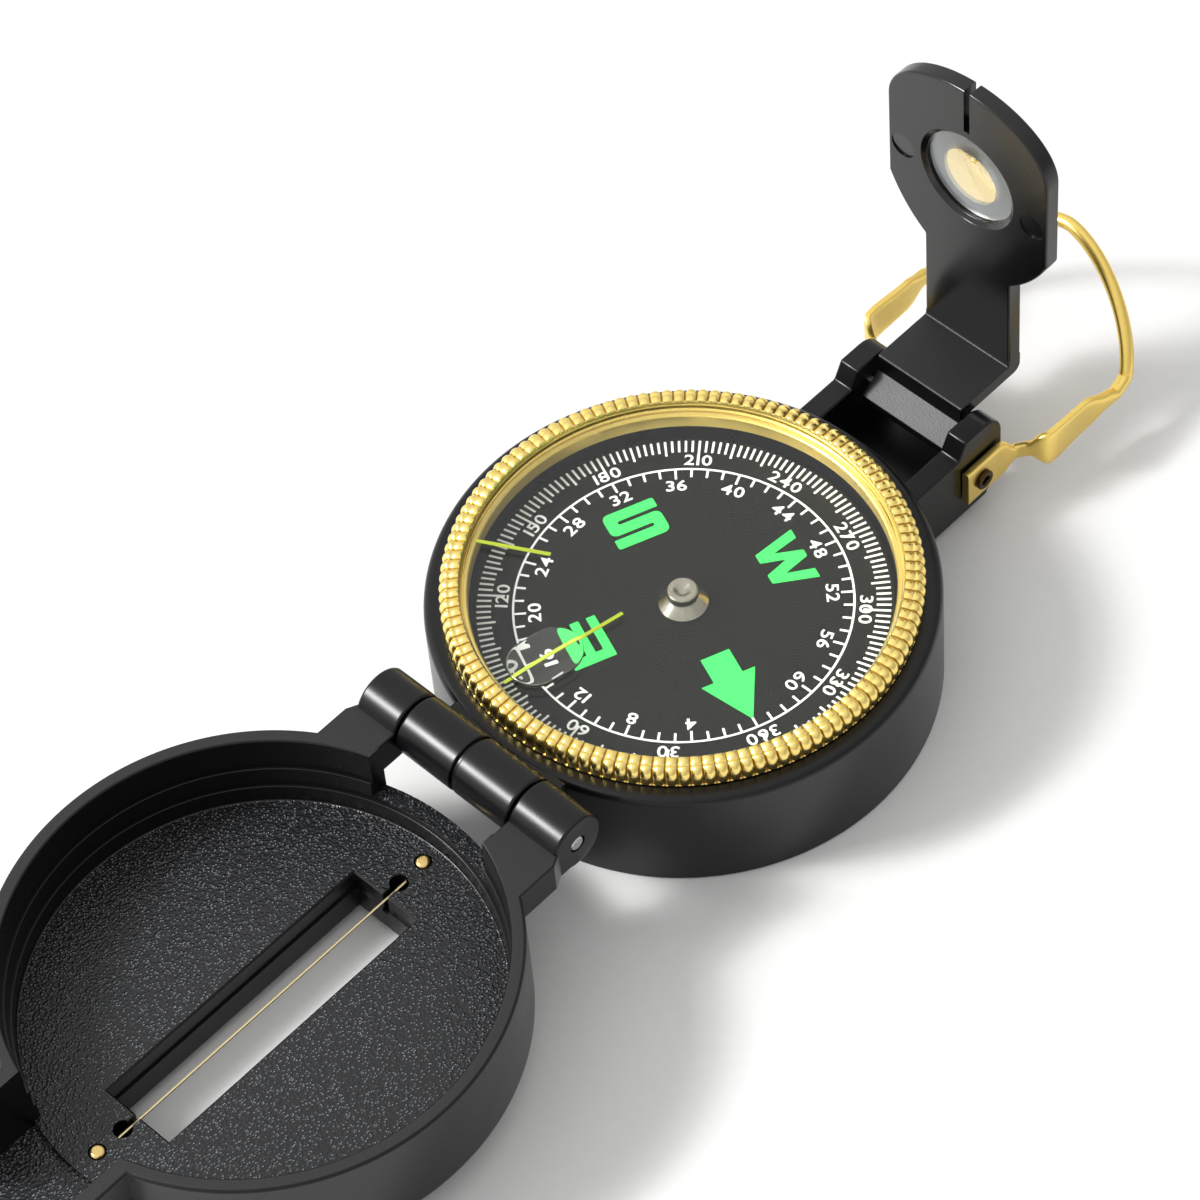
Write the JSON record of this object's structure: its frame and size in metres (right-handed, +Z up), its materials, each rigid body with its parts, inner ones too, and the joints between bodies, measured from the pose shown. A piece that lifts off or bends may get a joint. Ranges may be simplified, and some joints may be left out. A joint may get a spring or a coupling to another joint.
{
  "type": "folding lensatic compass",
  "caption": "Round folding compass: sighting cover on a hinge, turning toothed bezel with crystal and magnifier, floating dial, folding eyepiece and swinging thumb loop.",
  "frame": {"origin": "centre of the base's flat bottom, on the dial axis", "axes": "+Z up along the dial axis, +Y towards the eyepiece and away from the cover, X along the hinges"},
  "size_m": [0.055, 0.1612, 0.0529],
  "materials": {
    "case_plastic": "black moulded plastic, satin, spark grain inside the cover",
    "eyepiece_plastic": "black moulded plastic, glossier",
    "gold_plate": "gold-coloured plating on brass, bright",
    "brass": "drawn brass wire and pins",
    "steel": "turned steel",
    "dark_steel": "blackened steel",
    "nickel": "nickel-plated, bright",
    "clear": "clear polished acrylic",
    "dial": "black printed card with white scales and green marks",
    "luminous": "yellow-green luminous paint",
    "magnet": "grey magnet",
    "jewel": "polished red jewel"
  },
  "bodies": {
    "base": {"base_case": "case_plastic", "hinge_pin": "steel", "pivot_needle": "steel", "bezel_snap_ring": "steel", "eyepiece_pin": "steel", "loop_rivet_left": "dark_steel", "loop_rivet_right": "dark_steel"},
    "bezel": {"bezel_ring": "gold_plate", "bezel_crystal": "clear", "magnifier": "clear", "long_index_line": "luminous", "short_index_line": "luminous"},
    "dial": {"dial_card": "dial", "dial_cap": "nickel", "pivot_jewel": "jewel", "dial_magnet": "magnet"},
    "cover": {"cover_shell": "case_plastic", "sighting_wire": "brass", "wire_pin_hinge_end": "brass", "wire_pin_hood_end": "brass"},
    "eyepiece": {"eyepiece_bracket": "eyepiece_plastic", "eyepiece_lens": "clear"},
    "loop": {"thumb_loop": "gold_plate"}
  },
  "joints": [
    {"name": "cover_hinge", "type": "hinge", "parent": "base", "child": "cover", "pos_m": [0, -0.0315, 0.0155], "axis": [1, 0, 0], "range_deg": [-180, 0]},
    {"name": "bezel_turn", "type": "hinge", "parent": "base", "child": "bezel", "pos_m": [0, 0, 0.0143], "axis": [0, 0, 1], "continuous": true},
    {"name": "dial_turn", "type": "hinge", "parent": "base", "child": "dial", "pos_m": [0, 0, 0.0112], "axis": [0, 0, 1], "continuous": true},
    {"name": "eyepiece_hinge", "type": "hinge", "parent": "base", "child": "eyepiece", "pos_m": [0, 0.0373, 0.0091], "axis": [1, 0, 0], "range_deg": [0, 90]},
    {"name": "loop_hinge", "type": "hinge", "parent": "base", "child": "loop", "pos_m": [0, 0.0367, 0.006], "axis": [1, 0, 0], "range_deg": [-90, 35]}
  ]
}
